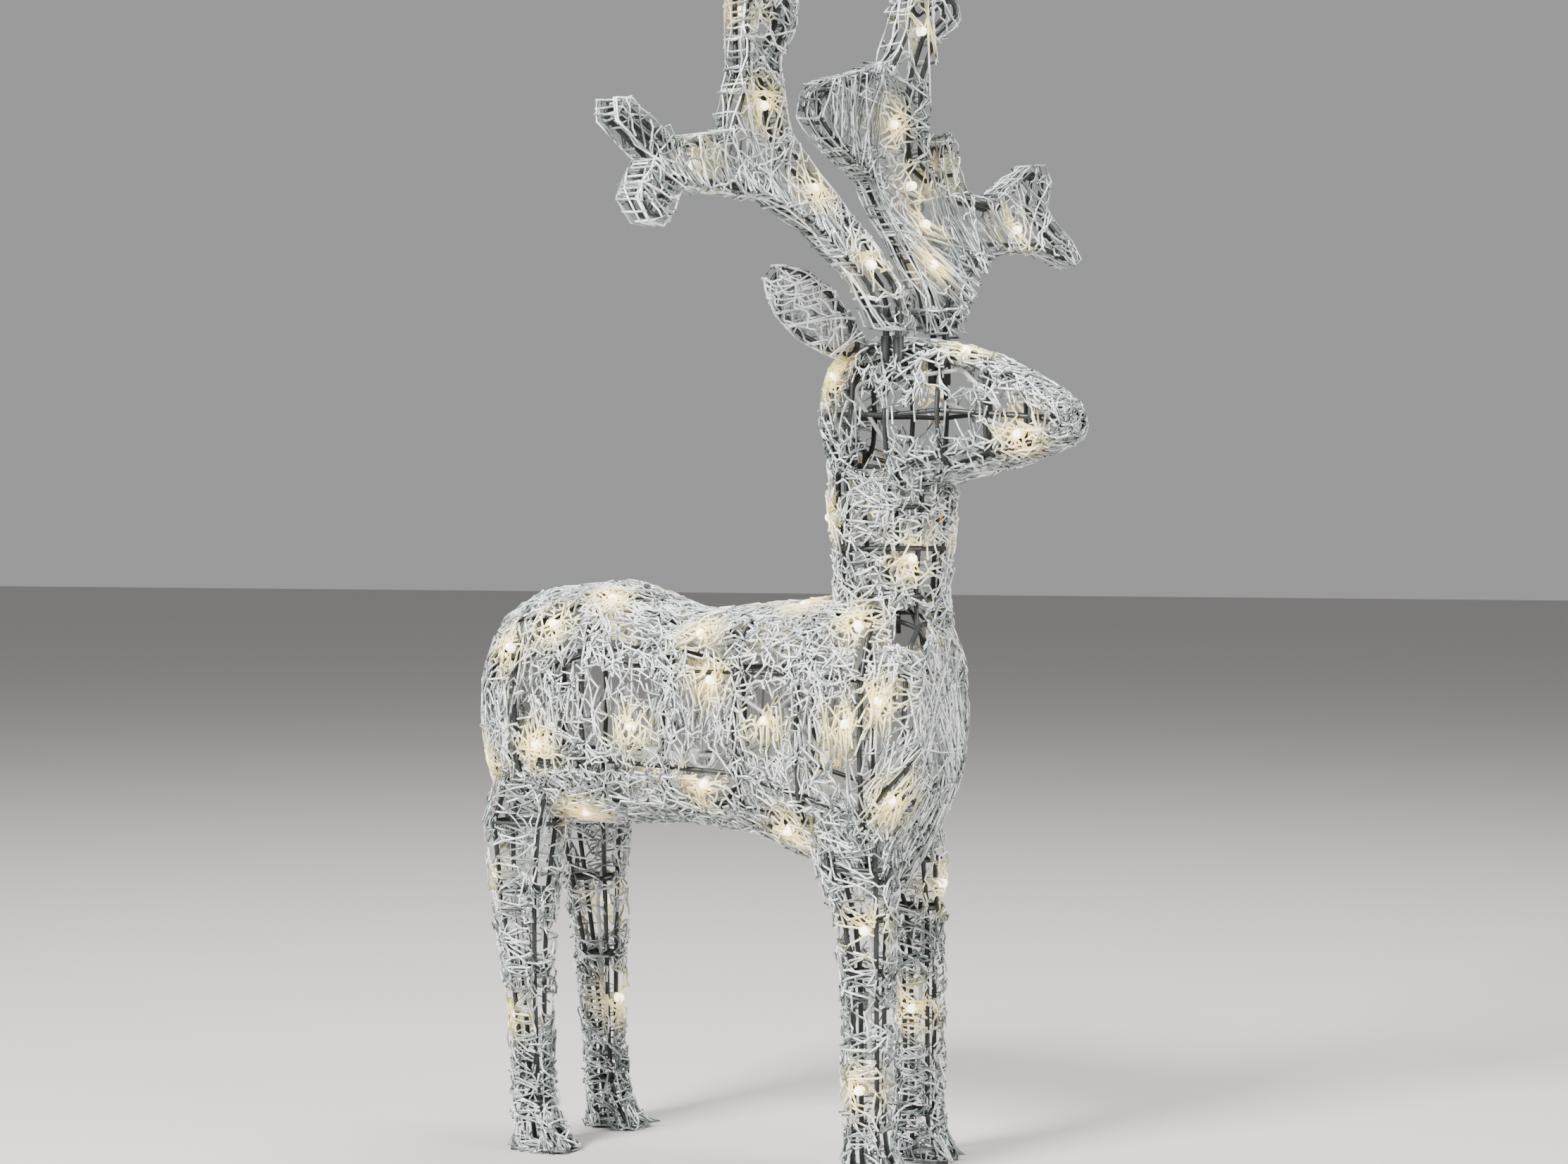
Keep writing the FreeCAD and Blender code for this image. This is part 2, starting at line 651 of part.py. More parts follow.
for side, sign in SIDES.items():
    root, tip, across = (
        Vector(v.x, -sign * v.y, v.z) for v in (EAR_ROOT, EAR_TIP, EAR_WIDTH)
    )
    along = Vector(tip - root).normalize()
    normal = along.cross(across).normalize()
    across = normal.cross(along).normalize()
    thickness = size("ear_thickness")
    outer = leaf(ear_outline(root, tip, across, 0), normal, thickness)
    inner = leaf(ear_outline(root, tip, across, WALL), normal, thickness - 2 * WALL)
    wall = outer.cut(inner).cut(head_grown)
    add_part(side + "_ear_winding", largest_solid(wall), HEAD_PLACE)
    rim = ear_outline(root, tip, across, ROD_DEPTH)
    add_part(side + "_ear_frame", tube(rim, ROD_RADIUS, LEAF_BEND, closed=True), HEAD_PLACE)
    ear_holes.append(tube(rim, ROD_RADIUS + GAP, LEAF_BEND, closed=True))
head_holes = [neck_inner] + socket_holes + ear_holes
add_part("head_winding", winding(head_outer, head_inner, head_lamps, head_holes), HEAD_PLACE)


# Antlers
def antler_point(sign, out, up, ahead=0.0):
    """Outward from the root and up, on the antler's curved middle surface."""
    for (low, low_x), (high, high_x) in zip(ANTLER_BEND, ANTLER_BEND[1:]):
        if low <= up <= high or high == ANTLER_BEND[-1][0]:
            x = low_x + (high_x - low_x) * (up - low) / (high - low)
            break
    return Vector(x + ahead, sign * (size("antler_side") + out), up)


OUTLINE_PLANE_X = -80.0          # behind the whole antler
OUTLINE_DEPTH = 160.0
SLAB_HALF_WIDTH = 260.0          # wider than both antlers
SLAB_OVERRUN = 10.0
LEAST_RUN = 4.0                  # between a corner of the rim and a bend of the slab
SPACER_PITCH = 5                 # rim corners from one spacer to the next


def flat_outline(outline, sign, inset):
    points = [
        Vector(OUTLINE_PLANE_X, sign * (size("antler_side") + out), up) for out, up in outline
    ]
    face = Part.Face(Part.makePolygon(points + points[:1]))
    return face.makeOffset2D(-inset, 2) if inset else face


def bent_slab(half, low_inset):
    """The antler's thickness, bent as the antler leans."""
    front = [Vector(x + half, -SLAB_HALF_WIDTH, up) for up, x in ANTLER_BEND]
    back = [Vector(x - half, -SLAB_HALF_WIDTH, up) for up, x in ANTLER_BEND]
    for line in (front, back):
        line[0].z += low_inset
        line[-1].z += SLAB_OVERRUN
    points = front + back[::-1]
    return Part.Face(Part.makePolygon(points + points[:1])).extrude(
        Vector(0, 2 * SLAB_HALF_WIDTH, 0))


def antler_solid(outline, sign, inset):
    prism = flat_outline(outline, sign, inset).extrude(Vector(OUTLINE_DEPTH, 0, 0))
    slab = bent_slab(size("antler_thickness") / 2 - inset, inset)
    return prism.common(slab)


def antler_rim(outline, sign, ahead):
    """A rod round the outline, on the front or the back face."""
    rim = flat_outline(outline, sign, ANTLER_ROD_DEPTH)
    corners = [vertex.Point for vertex in rim.OuterWire.OrderedVertexes]
    heights = [up for up, _ in ANTLER_BEND[1:-1]]
    points = []
    for here, after in zip(corners, corners[1:] + corners[:1]):
        out = sign * here.y - size("antler_side")
        points.append(antler_point(sign, out, here.z, ahead))
        low = min(here.z, after.z) + LEAST_RUN
        high = max(here.z, after.z) - LEAST_RUN
        crossings = [up for up in heights if low < up < high]
        for up in sorted(crossings, reverse=after.z < here.z):
            share = (up - here.z) / (after.z - here.z)
            y = here.y + (after.y - here.y) * share
            points.append(antler_point(sign, sign * y - size("antler_side"), up, ahead))
    return points


for side, outline, seats in [
    ("right", RIGHT_ANTLER, RIGHT_ANTLER_LAMPS), ("left", LEFT_ANTLER, LEFT_ANTLER_LAMPS)
]:
    sign = SIDES[side]
    name = side + "_antler"
    half = size("antler_thickness") / 2
    lamps = Lamps([
        (antler_point(sign, out, up, face * half), Vector(face, 0, 0))
        for out, up, face in seats if face
    ])
    route = list(lamps.route)
    for i, (out, up, face) in enumerate(seats):
        if not face:
            route.insert(i, antler_point(sign, out, up))
    outer = antler_solid(outline, sign, 0)
    inner = antler_solid(outline, sign, WALL)
    pin_holes = [
        Part.makeCylinder(
            size("pin_diameter") / 2 + GAP, PIN_HOLE_LENGTH, place + Vector(0, 0, PIN_HOLE_START))
        for place in pin_places[side]
    ]
    add_part(name + "_winding", winding(outer, inner, lamps, pin_holes), HEAD_PLACE)
    reach = half - ANTLER_ROD_DEPTH
    rims = {ahead: antler_rim(outline, sign, ahead * reach) for ahead in (-1, 1)}
    rods = []
    for rim in rims.values():
        edges = bent_edges(rim, LEAF_BEND, closed=True)
        half_way = len(edges) // 2
        rods.append(sweep(edges[:half_way], ROD_RADIUS))
        rods.append(sweep(edges[half_way:], ROD_RADIUS))
    for i in range(2, len(rims[1]) - 1, SPACER_PITCH):
        back, front = ((rims[ahead][i] + rims[ahead][i + 1]) * 0.5 for ahead in (-1, 1))
        rods.append(Part.makeCylinder(SPACER_RADIUS, 2 * reach, back, front - back))
    frame = fused(rods)
    add_part(name + "_frame", frame, HEAD_PLACE)
    lamps.add(name, HEAD_PLACE)
    add_part(name + "_led_wire", led_wire(name, route, LEAF_BEND), HEAD_PLACE)
    pin_base = Vector(0, 0, size("socket_top") - size("pin_engagement"))
    pins = [
        copy_at(PIN, place + pin_base, Vector(0, 0, 1)).cut(frame)
        for place in pin_places[side]
    ]
    add_part(name + "_pins", Part.makeCompound(pins), HEAD_PLACE)

doc.recompute()
for item in doc.Objects:
    if "Invalid" in item.State or "Error" in item.State:
        raise RuntimeError(f"{item.Label} did not compute")
os.makedirs("parts", exist_ok=True)
whole = FreeCAD.BoundBox()
for item in exported:
    if item.Shape.isNull() or not item.Shape.isValid():
        raise RuntimeError(f"{item.Label} has no valid shape")
    item.Shape.exportStep(os.path.join("parts", item.Label + ".step"))
    box = item.Shape.optimalBoundingBox(False)
    whole.add(box)
    print(f"{item.Label}: {len(item.Shape.Solids)} solids, {item.Shape.Volume:.0f} mm3, "
          f"z {box.ZMin:.1f} to {box.ZMax:.1f}")
print("whole:", whole)
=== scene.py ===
"""A yard reindeer of wire and clear acrylic thread, lit by small warm lamps, in a studio."""
import math
import random

import bpy
import numpy as np
from mathutils import Matrix, Vector


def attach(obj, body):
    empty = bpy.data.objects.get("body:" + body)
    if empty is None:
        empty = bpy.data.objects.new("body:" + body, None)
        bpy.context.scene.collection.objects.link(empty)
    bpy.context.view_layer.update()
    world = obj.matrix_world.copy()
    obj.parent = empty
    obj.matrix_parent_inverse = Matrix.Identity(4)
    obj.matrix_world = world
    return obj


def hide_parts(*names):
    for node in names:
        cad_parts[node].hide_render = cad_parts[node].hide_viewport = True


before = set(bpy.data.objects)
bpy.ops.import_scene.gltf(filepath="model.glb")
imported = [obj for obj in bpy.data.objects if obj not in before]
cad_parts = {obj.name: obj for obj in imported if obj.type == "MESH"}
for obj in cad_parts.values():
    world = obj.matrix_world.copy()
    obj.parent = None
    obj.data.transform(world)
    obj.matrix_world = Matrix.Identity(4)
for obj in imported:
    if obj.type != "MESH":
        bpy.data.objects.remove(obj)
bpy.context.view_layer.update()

MM = 0.001

# Lengths are in mm unless a comment says metres. The body's frame has its origin in the middle
# of the four hooves. The head's frame has it on the neck's axis, and is turned with the head.
CENTRE = Vector((-30.4, 3.0, 0.0))
NECK_X = 84.6
HEAD_TURN = math.radians(-10)
TO_BODY = Matrix.Translation(CENTRE)
TO_HEAD = Matrix.Translation(CENTRE + Vector((NECK_X, 0, 0))) @ Matrix.Rotation(HEAD_TURN, 4, "Z")

# ---------------------------------------------------------------- camera, lights, floor

# The camera as solved from the photo: the hooves' middle and the horizon are in its pixels.
YAW = math.radians(28)
DISTANCE = 1600.0
EYE_HEIGHT = 310.0
FOCAL_PX = 4533.0
IMAGE_W, IMAGE_H = 2226, 1652
STANCE_PX_X = 1050.0
HORIZON_PX_Y = 761.0
SENSOR_WIDTH = 36.0
# In metres.
FLOOR_HALF_SIZE = 14.0
LIGHT_TARGET = (0, 0, 0.3)
AIR_COLOUR = (0.86, 0.86, 0.88, 1)
AIR_STRENGTH = 0.42


def make_camera():
    """Looks at the animal from its right front, at about chest height."""
    right = Vector((math.cos(YAW), math.sin(YAW), 0))
    forward = Vector((-right.y, right.x, 0))
    eye = CENTRE * MM - forward * DISTANCE * MM + Vector((0, 0, EYE_HEIGHT * MM))
    data = bpy.data.cameras.new("camera")
    data.sensor_width = SENSOR_WIDTH
    data.lens = SENSOR_WIDTH * FOCAL_PX / IMAGE_W
    data.clip_start = 0.05
    data.clip_end = 50
    data.dof.use_dof = False
    turn = math.atan((IMAGE_W / 2 - STANCE_PX_X) / FOCAL_PX)
    drop = math.atan((IMAGE_H / 2 - HORIZON_PX_Y) / FOCAL_PX)
    aim = Matrix.Rotation(-turn, 3, "Z") @ forward
    aim = (aim * math.cos(drop) + Vector((0, 0, -math.sin(drop)))).normalized()
    camera = bpy.data.objects.new("camera", data)
    camera.location = eye
    camera.rotation_euler = aim.to_track_quat("-Z", "Y").to_euler()
    bpy.context.scene.collection.objects.link(camera)
    bpy.context.scene.camera = camera
    return forward, right


VIEW_FORWARD, VIEW_RIGHT = make_camera()


def node_material(name):
    """A new material, its node tree and its shader."""
    material = bpy.data.materials.new(name)
    material.use_nodes = True
    tree = material.node_tree
    return material, tree, tree.nodes["Principled BSDF"]


def object_noise(tree, scale):
    """A noise that is fixed to the object."""
    place = tree.nodes.new("ShaderNodeTexCoord")
    noise = tree.nodes.new("ShaderNodeTexNoise")
    noise.inputs["Scale"].default_value = scale
    tree.links.new(place.outputs["Object"], noise.inputs["Vector"])
    return noise


def ramp_between(tree, source, first, second):
    """A ramp that turns a value into a colour between two."""
    ramp = tree.nodes.new("ShaderNodeValToRGB")
    ramp.color_ramp.elements[0].color = first
    ramp.color_ramp.elements[1].color = second
    tree.links.new(source, ramp.inputs["Fac"])
    return ramp


def make_stage():
    """A pale floor, far larger than the view."""
    material, tree, shader = node_material("studio_floor")
    noise = tree.nodes.new("ShaderNodeTexNoise")
    noise.inputs["Scale"].default_value = 3.0
    ramp = ramp_between(tree, noise.outputs["Fac"], (0.48, 0.46, 0.44, 1), (0.52, 0.50, 0.48, 1))
    tree.links.new(ramp.outputs["Color"], shader.inputs["Base Color"])
    shader.inputs["Roughness"].default_value = 0.9
    size = FLOOR_HALF_SIZE
    corners = [(-size, -size, 0), (size, -size, 0), (size, size, 0), (-size, size, 0)]
    mesh = bpy.data.meshes.new("studio_floor")
    mesh.from_pydata(corners, [], [(0, 1, 2, 3)])
    floor = bpy.data.objects.new("studio_floor", mesh)
    floor.data.materials.append(material)
    bpy.context.scene.collection.objects.link(floor)


def area_light(name, place, size, power, colour):
    """A square light, in metres and watts, that faces the object."""
    data = bpy.data.lights.new(name, "AREA")
    data.shape = "SQUARE"
    data.size = size
    data.energy = power
    data.color = colour
    light = bpy.data.objects.new(name, data)
    light.location = place
    aim = Vector(LIGHT_TARGET) - Vector(place)
    light.rotation_euler = aim.to_track_quat("-Z", "Y").to_euler()
    bpy.context.scene.collection.objects.link(light)


def make_lights():
    """An even air, a key from the left front, a fill from the right and a light from above."""
    world = bpy.data.worlds.new("studio_air")
    world.use_nodes = True
    air = world.node_tree.nodes["Background"]
    air.inputs["Color"].default_value = AIR_COLOUR
    air.inputs["Strength"].default_value = AIR_STRENGTH
    bpy.context.scene.world = world
    left_front = -VIEW_FORWARD * 1.3 - VIEW_RIGHT * 1.2 + Vector((0, 0, 1.5))
    right_front = -VIEW_FORWARD * 1.2 + VIEW_RIGHT * 1.6 + Vector((0, 0, 0.9))
    above = Vector((0.2, 0.5, 1.9))
    area_light("key_light", left_front, size=0.6, power=175, colour=(1.0, 1.0, 1.0))
    area_light("fill_light", right_front, size=1.0, power=50, colour=(1.0, 0.99, 0.97))
    area_light("top_light", above, size=0.8, power=44, colour=(1.0, 1.0, 1.0))


make_stage()
make_lights()

# ---------------------------------------------------------------- forms

# Stations: place along the axis, middle of the section (two numbers), half sizes (two).
# The body runs along x. The neck stands along z, and the head runs along its own x.
BODY = [
    (-134, 0, 222, 30, 36), (-124, 0, 222, 42, 51), (-104, 0, 224, 50, 60),
    (-64, 0, 226, 52, 62), (-20, 0, 219.5, 47, 54), (20, 0, 219, 48, 58),
    (54, 0, 214, 48, 67), (86, 0, 208, 45, 74), (106, 0, 222, 37, 52),
    (113, 0, 224, 29, 38),
]
NECK = [
    (266, 0, 0, 29, 28), (281, 0, 0, 27.5, 26), (304, 0, 0, 29.5, 27),
    (324, 0, 0, 32, 28), (340, 0, 0, 32, 28), (349, 0, 0, 31.5, 27.5),
]
HEAD = [
    (-33, 0, 368, 16, 18), (-25, 0, 369, 25, 31), (-6, 0, 369, 30, 38),
    (14, 0, 368, 30.5, 39), (42, 0, 370, 27, 33), (66, 0, 368, 22, 26.5),
    (88, 0, 366, 17, 18.5), (101, 0, 364, 13, 12.5), (107, 0, 364, 8.5, 8),
]
# Stations of a leg: height, middle in x, half sizes, and how far it leans in from its track.
FRONT_LEG = [
    (0, 89.5, 17, 12, 0), (3, 89.5, 17.5, 12.5, 0), (13, 86.5, 14, 11.5, 0),
    (25, 86, 13, 10.5, 0), (62, 86, 13, 10.5, 0), (100, 85.5, 13.5, 11, 0),
    (126, 84, 16, 12.5, 0), (150, 79, 21, 14, 1.5), (176, 75, 22, 13, 6),
]
REAR_LEG = [
    (0, -92, 17, 12, 0), (3, -92, 17.5, 12.5, 0), (13, -96, 13, 11, 0),
    (25, -98.5, 11.5, 10, 0), (47, -99.5, 11, 10, 0), (91, -102, 13.5, 11.5, 0),
    (131, -105, 17.5, 13.5, 1), (165, -106.5, 21.5, 16, 4), (200, -101, 20, 14, 10),
]
FRONT_TRACK = 29.0
REAR_TRACK = 36.0
# How square a section is: 2 is an ellipse.
BODY_SHAPE = 2.6
LEG_SHAPE = 3.6

# Outlines of the antlers: out from the antler's own upright line, and height.
RIGHT_ANTLER = [
    (-10, 409), (-10, 432), (-4, 456), (8, 478), (32, 503), (40, 535), (26, 555),
    (25, 567), (33, 573), (43, 562), (49, 585), (58, 590), (66, 581), (66, 528),
    (79, 500), (123, 492), (150, 507), (162, 506), (163, 496), (142, 481),
    (168, 460), (166, 449), (155, 448), (127, 469), (60, 469), (36, 455), (22, 434),
    (14, 409),
]
LEFT_ANTLER = [
    (-10, 409), (-10, 436), (-6, 462), (-8, 486), (-41, 504), (-51, 514),
    (-49, 526), (-37, 533), (-10, 540), (14, 548), (26, 566), (31, 590), (40, 596),
    (50, 581), (66, 591), (77, 588), (80, 577), (58, 562), (46, 540), (44, 500),
    (52, 496), (56, 511), (63, 517), (71, 511), (74, 487), (100, 485), (140, 507),
    (153, 509), (158, 500), (148, 483), (160, 468), (159, 457), (147, 452),
    (124, 459), (74, 455), (42, 437), (24, 424), (14, 409),
]
# How far the antlers lean back: x at each height.
ANTLER_BEND = [(409, 14), (430, 8), (455, -8), (470, -18), (485, -25), (505, -29), (598, -31)]
ANTLER_SIDE = 20.0
ANTLER_HALF = 8.0

# The right ear: its ends, the way its leaf lies, and its half widths at shares of its length.
EAR_ROOT = (-10, -13, 398)
EAR_TIP = (-27, -64, 436)
EAR_WIDTH = (0.378, 0.505, 0.776)
EAR_HALF_WIDTHS = [(0.0, 7), (0.25, 12.5), (0.5, 16), (0.75, 14.5), (0.92, 9.5), (1.0, 5)]

# ---------------------------------------------------------------- numbers of the threads

# A thread: its radius, the corners round it, and the distance of the points along it.
THREAD_RADIUS = 0.55
THREAD_SIDES = 4
STEP = 3.4
# How often the threads would cover their form if they lay side by side.
LAYERS = 1.6
HEAD_LAYERS = 1.25
LEG_LAYERS = 1.15
# Faces after which a thread goes into the next piece.
PIECE_FACES = 95000
# The range of a thread's painted shade, 1 the palest, and how much it varies along the thread.
THREAD_SHADE_GLINTS = (0.05, 1.15)
# The darker range paints more shade on the head, the legs and the antlers.
DARKER_SHADE_GLINTS = (-0.40, 1.12)
# The flicker along a thread paints glints.
GLINT_FLICKER = 0.35
# The lamps' light on the threads is painted: a warm colour and a glow, stronger near each lamp.
# How far a lamp warms the threads, in metres, and how strongly they and the lenses shine.
GLOW_REACH = 0.0098
THREAD_GLOW = 1.15
LENS_GLOW = 3.6

# Wound threads: the share of runs that go round the form, the share of threads that curl, and
# the share that break off where a rod shows.
AROUND_SHARE = 0.36
CURLY_SHARE = 0.45
BREAK_SHARE = 0.62
# Depths under the outer face, how far a run bows inward, and the length of a run.
START_DEPTHS = (0.5, 3.0)
LEAST_DEPTH = 0.4
MOST_DEPTH = 3.2
BOW = 1.2
RUN_LENGTHS = (5, 17)
# Half the width of the strip left clear over a rod or a ring.
BAND_HALF = 1.9
# A long rod's number counts these parts of a turn.
ROD_PLACES = 16

# Threads over an end: how far down the side they reach, and how much they crumple.
CAP_REACH = (2, 14)
CAP_INSET = 0.96
CAP_STEPS = 6
CAP_CRUMPLES = (0.4, 1.0, 2.2)

# Ears: threads across each face, along the leaf, and turns round its edge.
EAR_SPANS = 26
EAR_SPAN_STEPS = 4
EAR_LENGTHWISE = 26
EAR_MOST_POINTS = 14
EAR_RIM_TURNS = 4
EAR_RIM_STEPS = 16
EAR_MARGIN = 1.2
EAR_LIFT = 3.0

# Antlers: threads stretched over the faces, crumpled threads, and turns round the outline.
ANTLER_SPANS = 100
ANTLER_WALKS = 120
ANTLER_RIM_TURNS = 5
SPAN_LIMITS = (6, 90)
SPAN_STEP = 5
RIM_STEP = 7
RIM_REACH = 6.5
ANTLER_CRUMPLES = (0.3, 0.6, 1.2)
WALK_STEP = 1.5
WALK_STEPS = 60

# Threads are upright where they rise this much more than they go sideways. In a window, the
# shares of upright and of other threads that stay are the window's share times these.
UPRIGHT_RATIO = 1.6
UPRIGHT_STAY = 1.9
OTHER_STAY = 0.6


class Loft:
    """A rounded form along the x or z axis, with a point for any place and angle."""

    def __init__(self, axis, stations, shape):
        self.axis = axis
        self.rows = np.array(stations, float)
        self.shape = shape
        self.low = self.rows[0, 0]
        self.high = self.rows[-1, 0]

    def section(self, along):
        """Middle and half sizes of the section at a place."""
        return [np.interp(along, self.rows[:, 0], self.rows[:, k]) for k in range(1, 5)]

    def point(self, along, angle, depth, scale=1.0):
        """A point at a depth under the face, or a share of the way out to it."""
        mid_a, mid_b, half_a, half_b = self.section(along)
        c, s = math.cos(angle), math.sin(angle)
        power = 2 / self.shape
        a = mid_a + (half_a - depth) * scale * math.copysign(abs(c) ** power, c)
        b = mid_b + (half_b - depth) * scale * math.copysign(abs(s) ** power, s)
        if self.axis == "x":
            return (along, a, b)
        return (a, b, along)

    def radius(self, along):
        """The mean radius at a place."""
        _, _, half_a, half_b = self.section(along)
        return (half_a + half_b) / 2

    def area(self):
        """The area of the sides, as of rounded drums."""
        total = 0.0
        for low, high in zip(self.rows, self.rows[1:]):
            total += (high[0] - low[0]) * math.pi * (low[3] + low[4] + high[3] + high[4]) / 2
        return total


def world_points(points, place):
    """Points of a module's own frame, in metres in the object's frame."""
    array = np.array(points, float)
    matrix = np.array(place)
    return (array @ matrix[:3, :3].T + matrix[:3, 3]) * MM


def surface_strands(loft, rng, length, bands):
    """Threads stretched in short straight runs over a form, often broken off where they cross a
    rod.

    bands are the rods that show between the threads: a test of place and angle for each.
    """
    strands = []
    total = 0.0
    while total < length:
        along = rng.uniform(loft.low, loft.high)
        angle = rng.uniform(0, 2 * math.pi)
        heading = rng.uniform(0, math.pi)
        points = []
        depth = rng.uniform(*START_DEPTHS)
        curly = rng.random() < CURLY_SHARE
        hidden = False
        for _ in range(rng.randint(3, 10)):
            if rng.random() < AROUND_SHARE:
                heading = math.pi / 2 * rng.choice((-1, 1)) + rng.gauss(0, 0.5)
            else:
                heading += rng.choice((-1, 1)) * rng.uniform(0.7, 2.4)
            run = rng.uniform(*RUN_LENGTHS)
            steps = max(2, int(run / STEP))
            goal = min(MOST_DEPTH, max(LEAST_DEPTH, depth + rng.gauss(0, 0.9)))
            for step in range(steps):
                share = step / steps
                bow = BOW * math.sin(math.pi * share) * rng.uniform(0.0, 0.5)
                here = depth + (goal - depth) * share + bow
                if curly:
                    heading += rng.gauss(0, 0.7)
                    here -= rng.uniform(-0.3, 1.0)
                on_rod = any(band(along, angle) for band in bands)
                if on_rod and not hidden:
                    hidden = rng.random() < BREAK_SHARE
                    if hidden:
                        strands.append(points)
                        points = []
                elif not on_rod:
                    hidden = False
                if not hidden:
                    points.append(loft.point(along, angle, here))
                along += run / steps * math.cos(heading)
                angle += run / steps * math.sin(heading) / loft.radius(along)
                if along < loft.low or along > loft.high:
                    along = min(max(along, loft.low), loft.high)
                    heading = math.pi - heading
            depth = goal
            total += run
        strands.append(points)
    return [points for points in strands if len(points) > 2]


def cap_strands(loft, end, rng, count):
    """Threads across an end of a form: 1 for its high end, -1 for its low one."""
    strands = []
    along = loft.high if end > 0 else loft.low
    for _ in range(count):
        first = rng.uniform(0, 2 * math.pi)
        second = first + math.pi + rng.uniform(-1.7, 1.7)
        crumple = rng.choice(CAP_CRUMPLES)
        depth = rng.uniform(0.7, 2.6)
        start = np.array(loft.point(along - end * rng.uniform(*CAP_REACH), first, depth))
        rim_a = np.array(loft.point(along - end * depth, first, 1.0, CAP_INSET))
        rim_b = np.array(loft.point(along - end * depth, second, 1.0, CAP_INSET))
        finish = np.array(loft.point(along - end * rng.uniform(*CAP_REACH), second, depth))
        points = [start]
        for k in range(CAP_STEPS + 1):
            share = k / CAP_STEPS
            sink = -end * rng.uniform(0, 1.2)
            side_a, side_b = rng.gauss(0, crumple), rng.gauss(0, crumple)
            jitter = (sink, side_a, side_b) if loft.axis == "x" else (side_a, side_b, sink)
            points.append(rim_a + (rim_b - rim_a) * share + np.array(jitter))
        points.append(finish)
        strands.append([tuple(point) for point in points])
    return strands


def thread_rings(path):
    """A ring of corners round each point of a path, in metres."""
    ahead = np.vstack([path[1:] - path[:-1], path[-1:] - path[-2:-1]])
    behind = np.vstack([path[1:2] - path[:1], path[1:] - path[:-1]])
    along = ahead + behind
    size = np.linalg.norm(along, axis=1, keepdims=True)
    along = along / np.maximum(size, 1e-9)
    helper = np.where(np.abs(along[:, 2:3]) < 0.8, [[0.0, 0.0, 1.0]], [[1.0, 0.0, 0.0]])
    across = np.cross(along, helper)
    across /= np.linalg.norm(across, axis=1, keepdims=True)
    upward = np.cross(along, across)
    ring = []
    for k in range(THREAD_SIDES):
        turn = 2 * math.pi * k / THREAD_SIDES
        side = across * math.cos(turn) + upward * math.sin(turn)
        ring.append(path + THREAD_RADIUS * MM * side)
    return np.stack(ring, axis=1).reshape(-1, 3)


def thread_quads(first, count):
    """The faces of one thread of count rings whose corners start at first."""
    base = first + np.arange(count - 1)[:, None] * THREAD_SIDES
    k = np.arange(THREAD_SIDES)[None, :]
    after = (k + 1) % THREAD_SIDES
    corners = [base + k, base + after, base + THREAD_SIDES + after, base + THREAD_SIDES + k]
    return np.stack(corners, axis=-1).reshape(-1, 4)


def quad_mesh(name, vertices, faces):
    """A smooth mesh of quads."""
    mesh = bpy.data.meshes.new(name)
    mesh.vertices.add(len(vertices))
    mesh.vertices.foreach_set("co", vertices.astype(np.float32).ravel())
    mesh.loops.add(faces.size)
    mesh.loops.foreach_set("vertex_index", faces.astype(np.int32).ravel())
    mesh.polygons.add(len(faces))
    mesh.polygons.foreach_set("loop_start", np.arange(0, faces.size, 4, dtype=np.int32))
    mesh.polygons.foreach_set("loop_total", np.full(len(faces), 4, dtype=np.int32))
    mesh.update(calc_edges=True)
    mesh.polygons.foreach_set("use_smooth", np.ones(len(faces), dtype=bool))
    return mesh


def tube_mesh(name, paths, shade_glint_range):
    """One mesh of thin threads, each with a painted shade of its own that flickers along it as
    painted glints.

    The attribute lit says how near a lamp each point is, for the lamps' glow painted on the
    threads.
    """
    chance = np.random.default_rng(len(paths))
    shade_glints = []
    vertices = []
    faces = []
    first = 0
    for path in paths:
        count = len(path)
        vertices.append(thread_rings(path))
        # Painted shade and glints: a shade for each thread, flickering along it.
        shade_glint = chance.uniform(*shade_glint_range) + chance.normal(0, GLINT_FLICKER, count)
        shade_glints.append(np.repeat(shade_glint, THREAD_SIDES))
        faces.append(thread_quads(first, count))
        first += count * THREAD_SIDES
    vertices = np.vstack(vertices)
    mesh = quad_mesh(name, vertices, np.vstack(faces))
    # Painted lamp light: how near each point is to a lamp.
    lit = np.zeros(len(vertices), np.float32)
    for lamp in LAMPS:
        gap = np.linalg.norm(vertices - lamp, axis=1)
        lit = np.maximum(lit, np.exp(-(gap / GLOW_REACH) ** 2))
    mesh.attributes.new("lit", "FLOAT", "POINT").data.foreach_set("value", lit)
    shade_glint = np.clip(np.concatenate(shade_glints), 0, 1).astype(np.float32)
    mesh.attributes.new("shade_glint", "FLOAT", "POINT").data.foreach_set("value", shade_glint)
    mesh.validate()
    obj = bpy.data.objects.new(name, mesh)
    bpy.context.scene.collection.objects.link(obj)
    return obj


# ---------------------------------------------------------------- lamps

# More than a lens is long, and less than the gap to the next lens, in metres.
LENS_REACH = 0.0066


def islands(obj):
    """The middle of each separate solid of a node."""
    mesh = obj.data
    count = len(mesh.vertices)
    points = np.zeros(count * 3)
    mesh.vertices.foreach_get("co", points)
    points = points.reshape(-1, 3)
    left = np.ones(count, bool)
    middles = []
    while left.any():
        seed = points[np.argmax(left)]
        group = left & (np.linalg.norm(points - seed, axis=1) < LENS_REACH)
        middles.append((points[group].min(0) + points[group].max(0)) / 2)
        left &= ~group
    return middles


LAMPS = []
for node_name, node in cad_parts.items():
    if node_name.endswith("_led_lamps"):
        LAMPS += islands(node)
LAMPS = np.array(LAMPS)

# ---------------------------------------------------------------- materials


